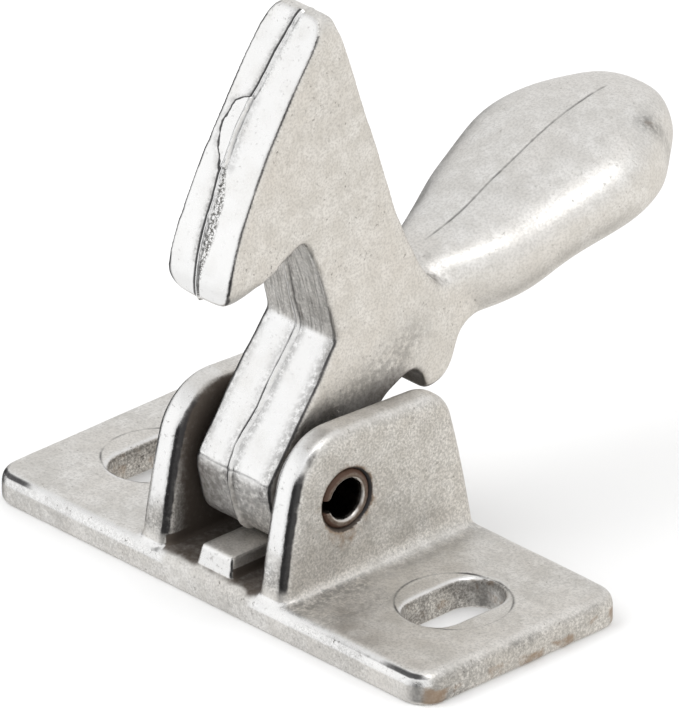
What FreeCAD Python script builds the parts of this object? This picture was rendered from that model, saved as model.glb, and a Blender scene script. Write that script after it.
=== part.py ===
import FreeCAD, Part
import math
import os

from FreeCAD import Placement, Rotation, Vector
import Sketcher

# Sprung elbow catch (hook latch), cast aluminium.
# Frame: millimetres, +Z up. The origin is the centre of the plate's underside,
# X runs along the plate, -Y is the side that the hook reaches over, +Y is the
# side of the thumb paddle. The hinge axis is parallel to X.

doc = FreeCAD.newDocument("elbow_catch")

# ---------------------------------------------------------------- dimensions
dims = doc.addObject("Spreadsheet::Sheet", "dims")
VALUES = [
    # mounting plate
    ("plate_length", 60.0),
    ("plate_depth", 26.1),
    ("plate_thick", 3.25),
    ("plate_corner_rad", 2.8),
    ("plate_long_edge_rad", 1.35),
    ("plate_end_edge_rad", 1.75),
    ("plate_under_chamfer", 0.25),
    # elongated screw holes
    ("slot_offset", 20.3),
    ("slot_width", 6.2),
    ("slot_length", 11.0),
    ("slot_rim_rad", 0.4),
    ("spot_dia", 11.2),
    ("spot_depth", 0.12),
    # ears
    ("ear_inner", 6.2),
    ("ear_outer_root", 10.1),
    ("ear_outer_top", 9.75),
    ("ear_sink", 1.2),
    ("ear_edge_rad", 1.4),
    ("ear_front_top_rad", 6.2),
    ("ear_rear_top_rad", 3.6),
    # hinge
    ("pivot_y", -3.9),
    ("pivot_z", 11.5),
    ("pin_rad", 3.0),
    ("pin_bore_rad", 2.05),
    ("pin_length", 19.9),
    ("pin_slot", 1.3),
    ("pin_lead", 0.35),
    ("pin_play", 0.05),
    # stop lug
    ("stop_root_half", 2.7),
    ("stop_top_half", 2.2),
    ("stop_top_centre", 0.95),
    ("stop_top_z", 5.75),
    ("stop_depth", 6.2),
    ("stop_front", 12.35),
    ("stop_edge_rad", 0.45),
    # return spring and its two seats
    ("spring_y", 5.0),
    ("spring_mean_rad", 2.4),
    ("spring_wire_rad", 0.38),
    ("spring_pitch", 2.35),
    ("spring_seat_rad", 1.65),
    ("spring_seat_top", 5.2),
    ("spring_pocket_rad", 3.25),
    ("spring_pocket_top", 21.5),
    # hook lever
    ("lever_width", 10.5),
    ("lever_tip_width", 7.9),
    ("lever_edge_rad", 1.0),
    ("lip_rad", 1.4),
    ("throat_rad", 0.5),
    ("nose_front_rad", 2.4),
    ("nose_under_rad", 2.6),
    ("hub_rad", 3.2),
    ("belly_rad", 4.0),
    # thumb paddle
    ("paddle_tilt", 19.5),
    ("paddle_root_y", 14.0),
    ("paddle_root_z", 23.8),
]
for row, (name, value) in enumerate(VALUES, start=1):
    dims.set("A%d" % row, name.replace("_", " "))
    dims.set("B%d" % row, repr(float(value)))
    dims.setAlias("B%d" % row, name)
doc.recompute()


def size(name):
    return float(dims.get(name))


def plane(body, role):
    for feature in body.Origin.OriginFeatures:
        if feature.Role == role:
            return feature
    raise RuntimeError("no origin plane " + role)


def new_body(name):
    body = doc.addObject("PartDesign::Body", name)
    body.Label = name
    return body


def new_sketch(body, name, role, offset=None):
    """A sketch on one of the body's own origin planes, moved along its normal by a dimension."""
    sketch = body.newObject("Sketcher::SketchObject", name)
    sketch.AttachmentSupport = [(plane(body, role), "")]
    sketch.MapMode = "FlatFace"
    if offset is not None:
        if isinstance(offset, str):
            sketch.setExpression("AttachmentOffset.Base.z", offset)
        else:
            sketch.AttachmentOffset = Placement(Vector(0, 0, offset), Rotation())
    return sketch


def line(a, b):
    return Part.LineSegment(Vector(a[0], a[1], 0), Vector(b[0], b[1], 0))


def spline(points, closed=False):
    curve = Part.BSplineCurve()
    pts = [Vector(p[0], p[1], 0) for p in points]
    if closed:
        curve.interpolate(Points=pts, PeriodicFlag=True)
    else:
        curve.interpolate(pts)
    return curve


def arc(a, mid, b):
    return Part.Arc(Vector(a[0], a[1], 0), Vector(mid[0], mid[1], 0), Vector(b[0], b[1], 0))


def add_chain(sketch, pieces):
    """Closed chain of geometry. Straight pieces are tied to their neighbours."""
    first = sketch.GeometryCount
    for piece in pieces:
        sketch.addGeometry(piece, False)
    last = sketch.GeometryCount - 1
    for i in range(first, last + 1):
        j = i + 1 if i < last else first
        if isinstance(sketch.Geometry[i], Part.LineSegment) and isinstance(sketch.Geometry[j], Part.LineSegment):
            sketch.addConstraint(Sketcher.Constraint("Coincident", i, 2, j, 1))


def rectangle(sketch, half_x, half_y):
    """A rectangle centred on the sketch's origin, with its two sizes bound to the sheet."""
    g = sketch.GeometryCount
    hx, hy = half_x[1], half_y[1]
    pts = [(-hx, -hy), (hx, -hy), (hx, hy), (-hx, hy)]
    for i in range(4):
        sketch.addGeometry(line(pts[i], pts[(i + 1) % 4]), False)
    for i in range(4):
        sketch.addConstraint(Sketcher.Constraint("Coincident", g + i, 2, g + (i + 1) % 4, 1))
    sketch.addConstraint(Sketcher.Constraint("Horizontal", g))
    sketch.addConstraint(Sketcher.Constraint("Horizontal", g + 2))
    sketch.addConstraint(Sketcher.Constraint("Vertical", g + 1))
    sketch.addConstraint(Sketcher.Constraint("Vertical", g + 3))
    sketch.addConstraint(Sketcher.Constraint("Symmetric", g, 1, g + 1, 2, -1, 1))
    c = sketch.addConstraint(Sketcher.Constraint("DistanceX", g, 1, g, 2, 2 * hx))
    sketch.setExpression("Constraints[%d]" % c, half_x[0])
    c = sketch.addConstraint(Sketcher.Constraint("DistanceY", g + 1, 1, g + 1, 2, 2 * hy))
    sketch.setExpression("Constraints[%d]" % c, half_y[0])


def circle(sketch, x, y, radius, ex=None, ey=None, er=None):
    """A circle whose centre and radius can each be bound to the sheet."""
    g = sketch.addGeometry(Part.Circle(Vector(x, y, 0), Vector(0, 0, 1), radius), False)
    if ex is None:
        sketch.addConstraint(Sketcher.Constraint("PointOnObject", g, 3, -2))
    else:
        c = sketch.addConstraint(Sketcher.Constraint("DistanceX", -1, 1, g, 3, x))
        sketch.setExpression("Constraints[%d]" % c, ex)
    if ey is None:
        sketch.addConstraint(Sketcher.Constraint("PointOnObject", g, 3, -1))
    else:
        c = sketch.addConstraint(Sketcher.Constraint("DistanceY", -1, 1, g, 3, y))
        sketch.setExpression("Constraints[%d]" % c, ey)
    if er is not None:
        c = sketch.addConstraint(Sketcher.Constraint("Radius", g, radius))
        sketch.setExpression("Constraints[%d]" % c, er)
    return g


def edges_where(shape, test):
    return ["Edge%d" % (i + 1) for i, e in enumerate(shape.Edges) if test(e)]


def span(edge):
    b = edge.BoundBox
    return b.XMin, b.XMax, b.YMin, b.YMax, b.ZMin, b.ZMax


def dress(body, kind, name, base, edges, **bound):
    feature = body.newObject("PartDesign::" + kind, name)
    feature.Base = (base, edges)
    for prop, expression in bound.items():
        feature.setExpression(prop, expression)
    doc.recompute()
    return feature


def both_sides(feature):
    if "SideType" in feature.PropertiesList:
        feature.SideType = "Symmetric"
    else:
        feature.Midplane = True


# ================================================================ base casting
# Plate with two ears and a stop lug, one casting. The plate and the ears are
# drawn as two bodies and fused into the one piece.
plate = new_body("plate_body")
sk = new_sketch(plate, "plate_outline", "XY_Plane")
rectangle(
    sk,
    ("dims.plate_length", size("plate_length") / 2),
    ("dims.plate_depth", size("plate_depth") / 2),
)
pad = plate.newObject("PartDesign::Pad", "plate_pad")
pad.Profile = sk
pad.setExpression("Length", "dims.plate_thick")
doc.recompute()

corners = edges_where(pad.Shape, lambda e: span(e)[5] - span(e)[4] > 1)
last = dress(plate, "Fillet", "plate_corners", pad, corners, Radius="dims.plate_corner_rad")

top_z = size("plate_thick")
half_l, half_d = size("plate_length") / 2, size("plate_depth") / 2
under = edges_where(last.Shape, lambda e: span(e)[5] < 0.01)
last = dress(plate, "Chamfer", "plate_under_edge", last, under, Size="dims.plate_under_chamfer")
rim = edges_where(last.Shape, lambda e: span(e)[4] > top_z - 0.01)
last = dress(plate, "Fillet", "plate_top_edge", last, rim, Radius="dims.plate_long_edge_rad")

# shallow round spot faces about the two elongated holes
sk = new_sketch(plate, "spot_outline", "XY_Plane", "dims.plate_thick")
for sign in (-1, 1):
    circle(sk, sign * size("slot_offset"), 0, size("spot_dia") / 2,
           ex="%s dims.slot_offset" % ("-" if sign < 0 else ""), er="dims.spot_dia / 2")
before = last.Shape.Volume
spot = plate.newObject("PartDesign::Pocket", "spot_faces")
spot.Profile = sk
spot.setExpression("Length", "dims.spot_depth")
doc.recompute()
if spot.Shape.Volume >= before - 1:
    spot.Reversed = True
    doc.recompute()
assert spot.Shape.Volume < before - 1, "the spot faces cut nothing"

# the two elongated screw holes, long way across the plate
sk = new_sketch(plate, "slot_outline", "XY_Plane")
slot_r = size("slot_width") / 2
slot_h = size("slot_length") / 2 - slot_r
for sign in (-1, 1):
    cx = sign * size("slot_offset")
    g = sk.GeometryCount
    sk.addGeometry(line((cx - slot_r, -slot_h), (cx - slot_r, slot_h)), False)
    sk.addGeometry(arc((cx - slot_r, slot_h), (cx, slot_h + slot_r), (cx + slot_r, slot_h)), False)
    sk.addGeometry(line((cx + slot_r, slot_h), (cx + slot_r, -slot_h)), False)
    sk.addGeometry(arc((cx + slot_r, -slot_h), (cx, -slot_h - slot_r), (cx - slot_r, -slot_h)), False)
before = spot.Shape.Volume
slots = plate.newObject("PartDesign::Pocket", "screw_slots")
slots.Profile = sk
slots.Type = "ThroughAll"
both_sides(slots)
doc.recompute()
assert slots.Shape.Volume < before - 300, "the slots cut nothing"


def slot_rim(e):
    x0, x1, y0, y1, z0, z1 = span(e)
    inside = max(abs(x0), abs(x1)) < size("slot_offset") + slot_r + 0.1 and min(abs(x0), abs(x1)) > size("slot_offset") - slot_r - 0.1
    return z0 > top_z - 0.3 and inside and abs(x1 - x0) < slot_r * 2 + 0.1 and max(abs(y0), abs(y1)) < slot_h + slot_r + 0.1


rims = edges_where(slots.Shape, slot_rim)
last = dress(plate, "Fillet", "slot_rims", slots, rims, Radius="dims.slot_rim_rad")

# round seat that centres the foot of the return spring
sk = new_sketch(plate, "spring_seat_outline", "XY_Plane")
circle(sk, 0, size("spring_y"), size("spring_seat_rad"), ey="dims.spring_y", er="dims.spring_seat_rad")
seat = plate.newObject("PartDesign::Pad", "spring_seat")
seat.Profile = sk
seat.setExpression("Length", "dims.spring_seat_top")
doc.recompute()
rim = edges_where(seat.Shape, lambda e: span(e)[4] > size("spring_seat_top") - 0.01)
last = dress(plate, "Chamfer", "spring_seat_edge", seat, rim, Size="0.4")

# stop lug for the lever's nose, at the front edge between the ears
sk = new_sketch(plate, "stop_outline", "XZ_Plane")
rh, th, tc, sz = size("stop_root_half"), size("stop_top_half"), size("stop_top_centre"), size("stop_top_z")
add_chain(sk, [line((-rh, 1.0), (rh, 1.0)), line((rh, 1.0), (tc + th, sz)), line((tc + th, sz), (tc - th, sz)), line((tc - th, sz), (-rh, 1.0))])
sk.setExpression("AttachmentOffset.Base.z", "dims.stop_front")
stop = plate.newObject("PartDesign::Pad", "stop_lug")
stop.Profile = sk
stop.setExpression("Length", "dims.stop_depth")
stop.Reversed = True
doc.recompute()
rim = edges_where(stop.Shape, lambda e: span(e)[5] > sz - 0.01 and abs(span(e)[0]) < 3.5 and abs(span(e)[1]) < 3.5 and span(e)[3] < -5 and span(e)[4] > top_z + 0.5)
last = dress(plate, "Fillet", "stop_edges", stop, rim, Radius="dims.stop_edge_rad")

# ---- ears
ears = new_body("ear_body")
sk = new_sketch(ears, "ear_front_view", "XZ_Plane", 13.0)
ei, er_, et = size("ear_inner"), size("ear_outer_root"), size("ear_outer_top")
foot = top_z - size("ear_sink")
ear_top = 22.0
for sign in (-1, 1):
    p = [(sign * ei, foot), (sign * er_, foot), (sign * er_, top_z), (sign * et, ear_top), (sign * ei, ear_top)]
    add_chain(sk, [line(p[i], p[(i + 1) % 5]) for i in range(5)])
ear_pad = ears.newObject("PartDesign::Pad", "ear_blanks")
ear_pad.Profile = sk
ear_pad.Length = 27.0
ear_pad.Reversed = True
doc.recompute()

# side view of an ear: leaning front edge, sloping top, raked rear edge
sk = new_sketch(ears, "ear_side_view", "YZ_Plane")
front_foot, front_mid, front_peak = (-12.8, 0.0), (-11.65, 8.0), (-8.9, 18.95)
rear_foot, rear_mid, rear_peak = (13.2, 0.0), (11.9, 8.2), (9.6, 18.05)
add_chain(sk, [
    arc(front_foot, front_mid, front_peak),
    line(front_peak, rear_peak),
    arc(rear_peak, rear_mid, rear_foot),
    line(rear_foot, (20, 0)),
    line((20, 0), (20, 26)),
    line((20, 26), (-20, 26)),
    line((-20, 26), (-20, 0)),
    line((-20, 0), front_foot),
])
before = ear_pad.Shape.Volume
trim = ears.newObject("PartDesign::Pocket", "ear_trim")
trim.Profile = sk
trim.Type = "ThroughAll"
both_sides(trim)
doc.recompute()
assert trim.Shape.Volume < before - 100, "the ears were not trimmed"


def peak(point):
    return lambda e: abs(span(e)[2] - point[0]) < 0.05 and abs(span(e)[3] - point[0]) < 0.05 and abs(span(e)[4] - point[1]) < 0.05


last = dress(ears, "Fillet", "ear_front_corner", trim, edges_where(trim.Shape, peak(front_peak)), Radius="dims.ear_front_top_rad")
last = dress(ears, "Fillet", "ear_rear_corner", last, edges_where(last.Shape, peak(rear_peak)), Radius="dims.ear_rear_top_rad")


def ear_edge(e):
    x0, x1, y0, y1, z0, z1 = span(e)
    return z1 > foot + 0.05 and (x1 - x0) < 1.0 and (y1 - y0 + z1 - z0) > 0.4


rim = edges_where(last.Shape, ear_edge)
last = dress(ears, "Fillet", "ear_edges", last, rim, Radius="dims.ear_edge_rad")

sk = new_sketch(ears, "hinge_bore_outline", "YZ_Plane")
circle(sk, size("pivot_y"), size("pivot_z"), size("pin_rad"), ex="dims.pivot_y", ey="dims.pivot_z", er="dims.pin_rad")
before = last.Shape.Volume
bore = ears.newObject("PartDesign::Pocket", "hinge_bore")
bore.Profile = sk
bore.Type = "ThroughAll"
both_sides(bore)
doc.recompute()
assert bore.Shape.Volume < before - 100, "the hinge bore cut nothing"
mouth = edges_where(bore.Shape, lambda e: abs(e.Length - 2 * math.pi * size("pin_rad")) < 0.3 and abs(span(e)[0]) > 9 )
last = dress(ears, "Chamfer", "hinge_bore_mouth", bore, mouth, Size="0.3")

# ---- root fillet strips along the outside foot of each ear
def root_section(sketch, sign, r):
    x = sign * (er_ - 0.35)
    xo = sign * (er_ + r - 0.02)
    z0, zt = top_z - 0.3, top_z + r
    k = r * (1 - math.sqrt(0.5))
    add_chain(sketch, [
        line((x, z0), (xo, z0)),
        line((xo, z0), (xo, top_z)),
        arc((xo, top_z), (sign * (er_ - 0.02 + k), top_z + k), (sign * (er_ - 0.02), zt)),
        line((sign * (er_ - 0.02), zt), (x, zt)),
        line((x, zt), (x, z0)),
    ])


for sign, tag in ((-1, "left"), (1, "right")):
    sections = []
    for i, (y, r) in enumerate(((-10.9, 0.9), (0.0, 1.35), (11.0, 1.8))):
        s = new_sketch(plate, "%s_root_%d" % (tag, i + 1), "XZ_Plane", -y)
        root_section(s, sign, r)
        sections.append(s)
    doc.recompute()
    strip = plate.newObject("PartDesign::AdditiveLoft", tag + "_root_fillet")
    strip.Profile = sections[0]
    strip.Sections = sections[1:]
    doc.recompute()

base = doc.addObject("Part::Fuse", "base_bracket")
base.Base = plate
base.Tool = ears
base.Label = "base_bracket"
doc.recompute()

# ================================================================ hook lever
web = new_body("lever_web")
sk = new_sketch(web, "lever_side_view", "YZ_Plane")
hook_front = [(-0.5, 58.35), (-1.2, 57.2), (-3.15, 54.5), (-4.9, 52.05), (-6.5, 49.55), (-8.0, 47.2), (-9.4, 44.75), (-10.9, 41.85), (-12.3, 38.8), (-13.3, 35.9), (-13.9, 33.9), (-14.25, 31.6)]
lip_in = (-3.9, 36.5)
throat = [lip_in, (-2.75, 34.2), (-1.85, 31.4), (-1.1, 28.3), (-0.5, 25.2)]
nose_a, nose_b = (-9.75, 12.65), (-8.3, 6.05)
hub_c, hub_d, belly_e = (0.3, 6.05), (2.3, 12.0), (5.3, 16.9)
belly = [belly_e, (8.4, 18.4)]
notch = [belly[-1], (9.35, 18.5), (10.15, 18.0), (10.6, 16.9), (10.85, 15.7)]
heel = [notch[-1], (12.2, 15.75), (13.6, 16.3), (14.6, 17.5), (15.2, 19.0), (15.75, 20.3), (16.7, 21.05), (18.2, 21.4)]
neck = [(18.2, 25.3), (14.6, 25.75)]
back = [neck[-1], (12.9, 26.6), (11.3, 28.4), (9.96, 31.0), (8.17, 35.4), (6.8, 40.25), (5.2, 45.3), (3.6, 50.35), (2.05, 55.2), (1.35, 57.05)]
add_chain(sk, [
    spline(hook_front),
    line(hook_front[-1], lip_in),
    spline(throat),
    line(throat[-1], nose_a),
    line(nose_a, nose_b),
    line(nose_b, hub_c),
    line(hub_c, hub_d),
    line(hub_d, belly_e),
    line(belly_e, belly[-1]),
    spline(notch),
    spline(heel),
    line(heel[-1], neck[0]),
    line(neck[0], neck[1]),
    spline(back),
    arc(back[-1], (0.75, 58.35), hook_front[0]),
])
web_pad = web.newObject("PartDesign::Pad", "lever_blank")
web_pad.Profile = sk
web_pad.setExpression("Length", "dims.lever_width")
both_sides(web_pad)
doc.recompute()

def cross_edge(point, tol=0.08):
    """An edge that runs along X through this point of the side view."""
    def test(e):
        x0, x1, y0, y1, z0, z1 = span(e)
        return x1 - x0 > 4 and abs((y0 + y1) / 2 - point[0]) < tol and abs((z0 + z1) / 2 - point[1]) < tol
    return test


last = web_pad
last = dress(web, "Fillet", "lip_edge", last, edges_where(last.Shape, cross_edge(hook_front[-1])), Radius="dims.lip_rad")
last = dress(web, "Fillet", "throat_corner", last, edges_where(last.Shape, cross_edge(lip_in)), Radius="dims.throat_rad")


for name, point, rad in (
    ("nose_front", nose_a, "dims.nose_front_rad"),
    ("nose_under", nose_b, "dims.nose_under_rad"),
    ("hub_under", hub_c, "dims.hub_rad"),
    ("hub_rear", hub_d, "dims.belly_rad"),
    ("belly_bend", belly_e, "dims.belly_rad"),
):
    last = dress(web, "Fillet", name, last, edges_where(last.Shape, cross_edge(point)), Radius=rad)


def side_edge(e):
    """An edge round the outline of either side face: the hook, the throat, the back and the heel."""
    x0, x1, y0, y1, z0, z1 = span(e)
    m = e.valueAt((e.FirstParameter + e.LastParameter) / 2)
    if x1 - x0 > 0.1 or m.z > 57.5 and m.y > -0.9:
        return False
    hook = z0 > 25.1 and not (m.y > 14.5 and m.z < 25.9)
    heel_edge = y0 > 10.8 and z1 < 21.6
    return hook or heel_edge


rim = edges_where(last.Shape, side_edge)
last = dress(web, "Fillet", "lever_edges", last, rim, Radius="dims.lever_edge_rad")

# front view: the hook narrows upwards to an arched tip
sk = new_sketch(web, "hook_front_view", "XZ_Plane")
wl, wt = size("lever_width") / 2 + 0.1, size("lever_tip_width") / 2
half_view = [(-wl - 0.35, 3.0), (-wl + 0.05, 20.0), (-wt - 0.3, 38.0), (-wt, 50.0), (-wt + 0.06, 55.2), (-wt + 0.40, 57.2), (-2.55, 58.4)]
outline = half_view + [(0.0, 58.85)] + [(-x, z) for x, z in reversed(half_view)]
add_chain(sk, [
    spline(outline),
    line(outline[-1], (9, 3)),
    line((9, 3), (9, 66)),
    line((9, 66), (-9, 66)),
    line((-9, 66), (-9, 3)),
    line((-9, 3), outline[0]),
])
before = last.Shape.Volume
narrow = web.newObject("PartDesign::Pocket", "hook_taper")
narrow.Profile = sk
narrow.Type = "ThroughAll"
both_sides(narrow)
doc.recompute()
assert narrow.Shape.Volume < before - 10, "the hook was not narrowed"

# front view: the lip's lower edge is rounded off at both sides
sk = new_sketch(web, "lip_front_view", "XZ_Plane", 20.0)
half_lip = [(-5.25, 37.0), (-4.85, 35.6), (-4.45, 34.4), (-3.8, 33.3), (-2.8, 32.7), (-1.5, 32.4)]
lip_line = half_lip + [(0.0, 32.3)] + [(-x, z) for x, z in reversed(half_lip)]
add_chain(sk, [
    spline(lip_line),
    line(lip_line[-1], (8, 37.0)),
    line((8, 37.0), (8, 26)),
    line((8, 26), (-8, 26)),
    line((-8, 26), (-8, 37.0)),
    line((-8, 37.0), lip_line[0]),
])
before = narrow.Shape.Volume
crown = web.newObject("PartDesign::Pocket", "lip_crown")
crown.Profile = sk
crown.Length = 14.0
doc.recompute()
if crown.Shape.Volume >= before - 0.5:
    crown.Reversed = True
    doc.recompute()
assert before - 60 < crown.Shape.Volume < before - 0.5, "the lip was not rounded off"

# bore for the hinge pin, with running play
sk = new_sketch(web, "lever_bore_outline", "YZ_Plane")
circle(sk, size("pivot_y"), size("pivot_z"), size("pin_rad") + size("pin_play"),
       ex="dims.pivot_y", ey="dims.pivot_z", er="dims.pin_rad + dims.pin_play")
before = crown.Shape.Volume
lever_bore = web.newObject("PartDesign::Pocket", "lever_bore")
lever_bore.Profile = sk
lever_bore.Type = "ThroughAll"
both_sides(lever_bore)
doc.recompute()
assert lever_bore.Shape.Volume < before - 200, "the lever bore cut nothing"

# blind round pocket in the belly that takes the head of the return spring
sk = new_sketch(web, "spring_pocket_outline", "XY_Plane", "dims.spring_pocket_top")
circle(sk, 0, size("spring_y"), size("spring_pocket_rad"), ey="dims.spring_y", er="dims.spring_pocket_rad")
before = lever_bore.Shape.Volume
pocket = web.newObject("PartDesign::Pocket", "spring_pocket")
pocket.Profile = sk
pocket.Length = 12.0
doc.recompute()
if pocket.Shape.Volume >= before - 1 or pocket.Shape.BoundBox.ZMax < 50:
    pocket.Reversed = True
    doc.recompute()
assert before - 300 < pocket.Shape.Volume < before - 50, "the spring pocket is wrong"

# ---- thumb paddle: a pear-shaped pad, drawn upright and then laid over
paddle = new_body("paddle_body")
# distance along the paddle, half width, half thickness, height of the section's centre
STATIONS = [
    (-2.5, 4.3, 3.5, 0.05),
    (2.0, 5.0, 4.2, -0.45),
    (6.0, 6.8, 4.4, -0.95),
    (9.5, 8.2, 4.38, -0.8),
    (13.0, 9.1, 4.37, -0.42),
    (16.5, 9.95, 4.55, -0.4),
    (20.0, 10.43, 4.81, -0.49),
    (23.4, 9.8, 4.9, -0.78),
]
CAP_FROM, CAP_TO = 23.4, 32.4
for k in (0.3, 0.52, 0.7, 0.84, 0.93, 0.98, 0.998):
    f = math.sqrt(1 - k ** 2.2)
    along = CAP_FROM + (CAP_TO - CAP_FROM) * k
    wide = 9.8 - 0.42 * (min(along, 28.5) - 23.4)
    STATIONS.append((along, wide * f, 4.92 * f, -0.92 - 0.28 * k + 0.1 * k * k))


def station_curve(half_width, half_thick, centre, power=2.6, count=28):
    """A rounded oblong, points round it once. Local x is the width and local y the thickness."""
    pts = []
    for i in range(count):
        a = 2 * math.pi * (i + 0.5) / count
        c, sn = math.cos(a), math.sin(a)
        pts.append((
            half_width * math.copysign(abs(c) ** (2 / power), c),
            half_thick * math.copysign(abs(sn) ** (2 / power), sn) + centre,
        ))
    return pts


sections = []
for i, (along, half_width, half_thick, centre) in enumerate(STATIONS):
    s = new_sketch(paddle, "paddle_station_%02d" % (i + 1), "XZ_Plane", -along)
    s.addGeometry(spline(station_curve(half_width, half_thick, centre), closed=True), False)
    sections.append(s)
doc.recompute()
loft = paddle.newObject("PartDesign::AdditiveLoft", "paddle_loft")
loft.Profile = sections[0]
loft.Sections = sections[1:]
doc.recompute()
paddle.setExpression("Placement.Base.y", "dims.paddle_root_y")
paddle.setExpression("Placement.Base.z", "dims.paddle_root_z")
paddle.Placement = Placement(Vector(0, size("paddle_root_y"), size("paddle_root_z")), Rotation(Vector(1, 0, 0), size("paddle_tilt")))
doc.recompute()

lever = doc.addObject("Part::Fuse", "hook_lever")
lever.Base = web
lever.Tool = paddle
lever.Label = "hook_lever"
doc.recompute()

# ================================================================ hinge pin
# Rolled spring pin: a tube with one slit, pressed into both ears.
pin = new_body("hinge_pin")
sk = new_sketch(pin, "pin_outline", "YZ_Plane")
circle(sk, size("pivot_y"), size("pivot_z"), size("pin_rad"), ex="dims.pivot_y", ey="dims.pivot_z", er="dims.pin_rad")
circle(sk, size("pivot_y"), size("pivot_z"), size("pin_bore_rad"), ex="dims.pivot_y", ey="dims.pivot_z", er="dims.pin_bore_rad")
tube = pin.newObject("PartDesign::Pad", "pin_tube")
tube.Profile = sk
tube.setExpression("Length", "dims.pin_length")
both_sides(tube)
doc.recompute()
ends = edges_where(tube.Shape, lambda e: span(e)[1] - span(e)[0] < 0.01 and e.Length > 15)
last = dress(pin, "Chamfer", "pin_lead_ins", tube, ends, Size="dims.pin_lead")
ends = edges_where(last.Shape, lambda e: span(e)[1] - span(e)[0] < 0.01 and abs(e.Length - 2 * math.pi * size("pin_bore_rad")) < 0.1)
last = dress(pin, "Chamfer", "pin_bore_edges", last, ends, Size="0.22")
hs = size("pin_slot") / 2
slit = new_sketch(pin, "pin_slit_section", "YZ_Plane")
py, pz = size("pivot_y"), size("pivot_z")
add_chain(slit, [
    line((py, pz - hs), (py, pz + hs)),
    line((py, pz + hs), (py - 4, pz + hs)),
    line((py - 4, pz + hs), (py - 4, pz - hs)),
    line((py - 4, pz - hs), (py, pz - hs)),
])
before = last.Shape.Volume
cut = pin.newObject("PartDesign::Pocket", "pin_slit")
cut.Profile = slit
cut.Type = "ThroughAll"
both_sides(cut)
doc.recompute()
assert cut.Shape.Volume < before - 10, "the slit cut nothing"

# ================================================================ return spring
spring = new_body("return_spring")
sk = new_sketch(spring, "wire_section", "XZ_Plane", -size("spring_y"))
wire = size("spring_wire_rad")
foot_z = top_z + wire + 0.02
circle(sk, size("spring_mean_rad"), foot_z, wire, ex="dims.spring_mean_rad", ey="dims.plate_thick + dims.spring_wire_rad + 0.02", er="dims.spring_wire_rad")
coil = spring.newObject("PartDesign::AdditiveHelix", "spring_coil")
coil.Profile = sk
coil.ReferenceAxis = (sk, ["V_Axis"])
coil.Mode = "pitch-height-angle"
coil.setExpression("Pitch", "dims.spring_pitch")
coil.setExpression("Height", "dims.spring_pocket_top - dims.plate_thick - 2 * dims.spring_wire_rad - 0.35")
doc.recompute()

# ================================================================ check and write
NODES = {"base_bracket": base, "hook_lever": lever, "hinge_pin": pin, "return_spring": spring}
for obj in doc.Objects:
    if "Invalid" in obj.State or "Error" in obj.State:
        raise RuntimeError("%s did not build: %s" % (obj.Name, obj.State))
os.makedirs("parts", exist_ok=True)
for label, obj in NODES.items():
    shape = obj.Shape
    if obj.Label != label or shape.isNull() or not shape.isValid() or len(shape.Solids) != 1:
        raise RuntimeError("%s is not one valid solid" % label)
for label, obj in NODES.items():
    obj.Shape.exportStep(os.path.join("parts", label + ".step"))
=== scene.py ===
import math

import bmesh
import bpy
import numpy as np
from mathutils import Matrix, Vector


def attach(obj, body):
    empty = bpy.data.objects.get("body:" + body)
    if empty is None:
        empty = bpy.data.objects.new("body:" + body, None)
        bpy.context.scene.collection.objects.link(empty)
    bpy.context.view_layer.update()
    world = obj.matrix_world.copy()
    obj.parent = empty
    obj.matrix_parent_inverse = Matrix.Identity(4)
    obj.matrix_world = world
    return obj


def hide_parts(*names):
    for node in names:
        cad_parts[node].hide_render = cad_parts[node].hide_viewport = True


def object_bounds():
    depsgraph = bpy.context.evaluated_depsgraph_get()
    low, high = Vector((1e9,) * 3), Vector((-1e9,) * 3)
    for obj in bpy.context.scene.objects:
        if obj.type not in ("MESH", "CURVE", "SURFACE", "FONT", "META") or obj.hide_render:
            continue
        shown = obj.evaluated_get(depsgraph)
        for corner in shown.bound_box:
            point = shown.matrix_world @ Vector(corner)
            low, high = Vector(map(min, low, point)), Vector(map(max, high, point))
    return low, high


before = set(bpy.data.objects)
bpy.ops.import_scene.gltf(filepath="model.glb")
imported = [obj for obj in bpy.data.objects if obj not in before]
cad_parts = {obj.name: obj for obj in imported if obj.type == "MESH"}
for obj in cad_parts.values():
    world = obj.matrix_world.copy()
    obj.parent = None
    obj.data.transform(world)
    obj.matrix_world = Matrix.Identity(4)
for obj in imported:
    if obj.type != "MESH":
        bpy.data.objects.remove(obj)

cad_lo, cad_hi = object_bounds()
scene = bpy.context.scene
scene.view_settings.view_transform = "Standard"
scene.view_settings.look = "None"

PIVOT_Y, PIVOT_Z = -3.9, 11.5      # hinge axis, mm


# ------------------------------------------------------------------ numbers
def hashed(ix, iy, iz, seed):
    n = (ix * 374761393 + iy * 668265263 + iz * 1274126177 + seed * 144269504) & 0xFFFFFFFF
    n = ((n ^ (n >> 13)) * 1274126177) & 0xFFFFFFFF
    n = n ^ (n >> 16)
    return (n & 0xFFFF) / 32767.5 - 1.0


def noise(p, size, seed=0):
    """Smooth seeded noise, -1 to 1. size is the feature size in the units of p."""
    q = p / size
    i = np.floor(q).astype(np.int64)
    f = q - i
    f = f * f * (3 - 2 * f)
    out = 0
    for dx in (0, 1):
        for dy in (0, 1):
            for dz in (0, 1):
                w = (f[:, 0] if dx else 1 - f[:, 0]) * (f[:, 1] if dy else 1 - f[:, 1]) * (f[:, 2] if dz else 1 - f[:, 2])
                out = out + w * hashed(i[:, 0] + dx, i[:, 1] + dy, i[:, 2] + dz, seed)
    return out


def fractal(p, size, seed=0, octaves=3):
    out, amp = 0, 1.0
    for k in range(octaves):
        out = out + amp * noise(p, size / 2 ** k, seed + 17 * k)
        amp *= 0.5
    return out / (2 - 0.5 ** (octaves - 1))


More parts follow.
